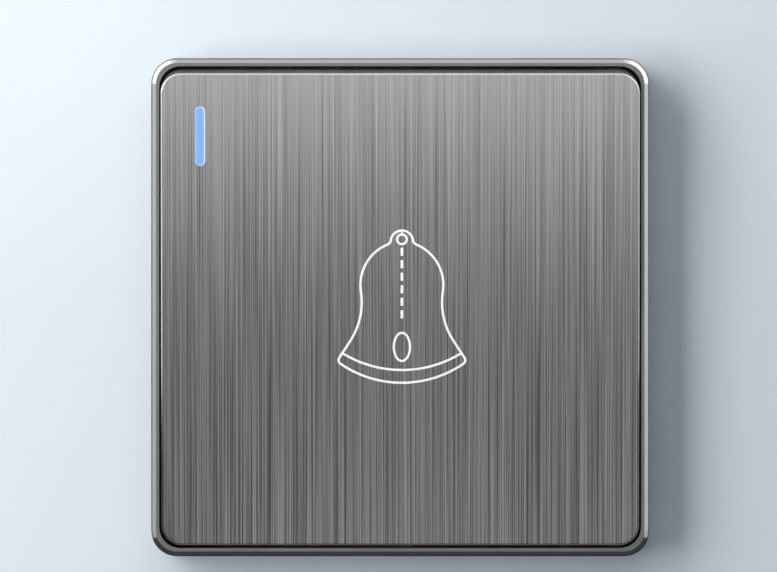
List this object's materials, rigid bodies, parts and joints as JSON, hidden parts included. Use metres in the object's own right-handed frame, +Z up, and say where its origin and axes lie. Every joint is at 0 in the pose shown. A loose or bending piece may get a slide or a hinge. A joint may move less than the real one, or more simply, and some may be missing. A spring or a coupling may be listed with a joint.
{
  "type": "doorbell push button",
  "caption": "Square wall-plate doorbell push with a full-face rocking button, slim frame, lit indicator bar and rear contact module.",
  "frame": {"origin": "midway between the two wall-box screw slots, on the plane of the yoke's back face, which is the wall surface", "axes": "+X to the right of a person facing the button, +Y straight into the wall, +Z up"},
  "size_m": [0.086, 0.0367, 0.086],
  "materials": {
    "frame_lacquer": "satin metallic lacquer",
    "brushed_face": "upright brushed, anodised dark grey, bright bevel",
    "button_plastic": "satin",
    "symbol_paint": "enamel",
    "lens_blue": "translucent",
    "zinc_steel": "zinc plated",
    "module_plastic": "moulded",
    "lever_plastic": "moulded",
    "contact_brass": "stamped",
    "contact_silver": "silver faced",
    "spring_steel": "bright wire",
    "board_green": "solder mask",
    "lamp_white": "clear resin",
    "resistor_tan": "coated",
    "wire_red": "insulation",
    "wire_black": "insulation"
  },
  "bodies": {
    "base": {"trim_frame": "frame_lacquer", "mounting_yoke": "zinc_steel", "module_housing": "module_plastic", "module_cover": "module_plastic", "cover_screws": "zinc_steel", "fixed_rivets": "contact_silver", "contact_strip_left": "contact_brass", "contact_strip_right": "contact_brass", "terminal_block_left": "contact_brass", "terminal_block_right": "contact_brass", "terminal_screws": "zinc_steel", "lamp_holder": "module_plastic", "lamp_board": "board_green", "lamp_led": "lamp_white", "lamp_resistor": "resistor_tan", "lamp_wire_left": "wire_black", "lamp_wire_right": "wire_red", "return_spring": "spring_steel"},
    "button": {"button_carrier": "button_plastic", "button_skin": "brushed_face", "bell_symbol": "symbol_paint", "indicator_lens": "lens_blue", "rocker_lever": "lever_plastic"},
    "plunger": {"plunger": "lever_plastic", "contact_bridge": "contact_brass", "bridge_rivets": "contact_silver", "contact_spring": "spring_steel"}
  },
  "joints": [
    {"name": "button_rock", "type": "hinge", "parent": "base", "child": "button", "pos_m": [0, -0.0046, 0], "axis": [-1, 0, 0], "range_deg": [0, 5.5], "stiffness_Nm_per_rad": 0.2, "springref_deg": -9.45},
    {"name": "plunger_slide", "type": "slide", "parent": "base", "child": "plunger", "axis": [0, 1, 0], "range_m": [0, 0.00125], "deforming": ["return_spring"]}
  ],
  "couplings": [
    {"joint": "plunger_slide", "follows": "button_rock", "m_per_rad": 0.012993}
  ]
}
